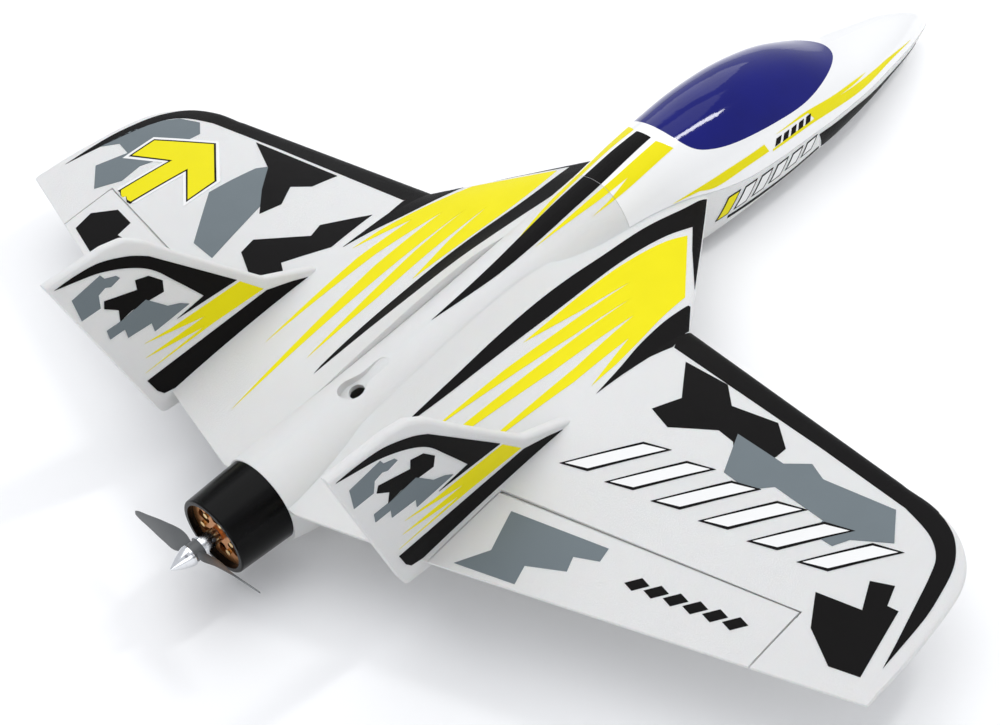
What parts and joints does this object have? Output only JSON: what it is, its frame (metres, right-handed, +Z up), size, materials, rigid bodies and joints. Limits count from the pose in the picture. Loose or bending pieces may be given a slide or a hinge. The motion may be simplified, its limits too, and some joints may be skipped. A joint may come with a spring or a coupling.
{
  "type": "radio-controlled foam airplane",
  "caption": "Foam pusher jet with a long drooped nose, lift-off canopy hood, strake wing with elevons, twin canted fins and a rear electric motor turning a small propeller.",
  "frame": {"origin": "on the flat of the belly, in the centre plane, under the kink in the wing's leading edge", "axes": "+X forward to the nose, +Y to the aircraft's left, +Z up"},
  "size_m": [0.7715, 0.783, 0.18],
  "materials": {
    "foam": "moulded white bead foam",
    "hood_paint": "gloss white painted skin",
    "canopy_tint": "gloss dark blue tinted canopy",
    "black_plastic": "gloss black moulded plastic",
    "dark_plastic": "dark grey moulded plastic",
    "white_plastic": "natural white nylon",
    "spring_steel": "bare steel wire",
    "steel": "ground steel",
    "screw_steel": "blackened steel",
    "bright_alloy": "polished",
    "bronze_anodised": "bronze anodised",
    "dark_anodised": "black anodised",
    "brass_screws": "plain brass",
    "core_steel": "lacquered laminations",
    "copper_enamel": "enamelled copper wire",
    "magnet_plating": "nickel plated",
    "plywood": "birch plywood",
    "spar_glass_fibre": "pultruded glass fibre",
    "battery_film": "heat-shrunk film",
    "strap_fabric": "woven hook and loop tape",
    "case_plastic": "fine matt plastic",
    "propeller_plastic": "glass filled dark grey nylon"
  },
  "bodies": {
    "airframe": {"fuselage_left": "foam", "fuselage_right": "foam", "wing_left": "foam", "wing_right": "foam", "fin_left": "foam", "fin_right": "foam", "motor_housing": "black_plastic", "hood_clips": "dark_plastic", "speed_controller": "case_plastic", "receiver": "case_plastic", "servo_left": "case_plastic", "servo_right": "case_plastic", "motor_bearings": "steel", "housing_screws": "screw_steel", "motor_base": "bronze_anodised", "base_screws": "brass_screws", "stator_core": "core_steel", "stator_windings": "copper_enamel", "motor_bulkhead": "plywood", "battery_tray": "plywood", "wing_spar": "spar_glass_fibre", "battery": "battery_film", "battery_strap": "strap_fabric"},
    "rotor": {"rotor_can": "dark_anodised", "rotor_magnets": "magnet_plating", "motor_shaft": "steel", "prop_driver": "bright_alloy", "driver_set_screw": "screw_steel", "propeller": "propeller_plastic", "spinner_nut": "bright_alloy"},
    "hood": {"canopy_hood": "hood_paint", "canopy_glazing": "canopy_tint", "hood_tongues": "dark_plastic"},
    "elevon_left": {"elevon_left": "foam", "control_horn_left": "white_plastic"},
    "servo_arm_left": {"servo_arm_left": "white_plastic", "arm_screw_left": "screw_steel"},
    "pushrod_left": {"pushrod_left": "spring_steel", "rod_connector_left": "brass_screws", "connector_screw_left": "screw_steel"},
    "elevon_right": {"elevon_right": "foam", "control_horn_right": "white_plastic"},
    "servo_arm_right": {"servo_arm_right": "white_plastic", "arm_screw_right": "screw_steel"},
    "pushrod_right": {"pushrod_right": "spring_steel", "rod_connector_right": "brass_screws", "connector_screw_right": "screw_steel"}
  },
  "joints": [
    {"name": "elevon_left_hinge", "type": "hinge", "parent": "airframe", "child": "elevon_left", "pos_m": [-0.16431, 0.227, 0.057], "axis": [0.1987, 0.9801, 0], "range_deg": [-20, 20]},
    {"name": "servo_arm_left_turn", "type": "hinge", "parent": "airframe", "child": "servo_arm_left", "pos_m": [-0.08682, 0.13112, 0.055], "axis": [0.1987, 0.9801, 0], "range_deg": [-20, 20]},
    {"name": "pushrod_left_pivot", "type": "hinge", "parent": "servo_arm_left", "child": "pushrod_left", "pos_m": [-0.08682, 0.13112, 0.04], "axis": [0.1987, 0.9801, 0], "range_deg": [-20, 20]},
    {"name": "elevon_right_hinge", "type": "hinge", "parent": "airframe", "child": "elevon_right", "pos_m": [-0.16431, -0.227, 0.057], "axis": [-0.1987, 0.9801, 0], "range_deg": [-20, 20]},
    {"name": "servo_arm_right_turn", "type": "hinge", "parent": "airframe", "child": "servo_arm_right", "pos_m": [-0.08682, -0.13112, 0.055], "axis": [-0.1987, 0.9801, 0], "range_deg": [-20, 20]},
    {"name": "pushrod_right_pivot", "type": "hinge", "parent": "servo_arm_right", "child": "pushrod_right", "pos_m": [-0.08682, -0.13112, 0.04], "axis": [-0.1987, 0.9801, 0], "range_deg": [-20, 20]},
    {"name": "propeller_spin", "type": "hinge", "parent": "airframe", "child": "rotor", "pos_m": [-0.327, 0, 0.0473], "axis": [1, 0, 0], "continuous": true},
    {"name": "hood_lift", "type": "slide", "parent": "airframe", "child": "hood", "axis": [0, 0, 1], "range_m": [0, 0.08]}
  ],
  "couplings": [
    {"joint": "servo_arm_left_turn", "follows": "elevon_left_hinge", "ratio": 1},
    {"joint": "pushrod_left_pivot", "follows": "elevon_left_hinge", "ratio": -1},
    {"joint": "servo_arm_right_turn", "follows": "elevon_right_hinge", "ratio": 1},
    {"joint": "pushrod_right_pivot", "follows": "elevon_right_hinge", "ratio": -1}
  ]
}
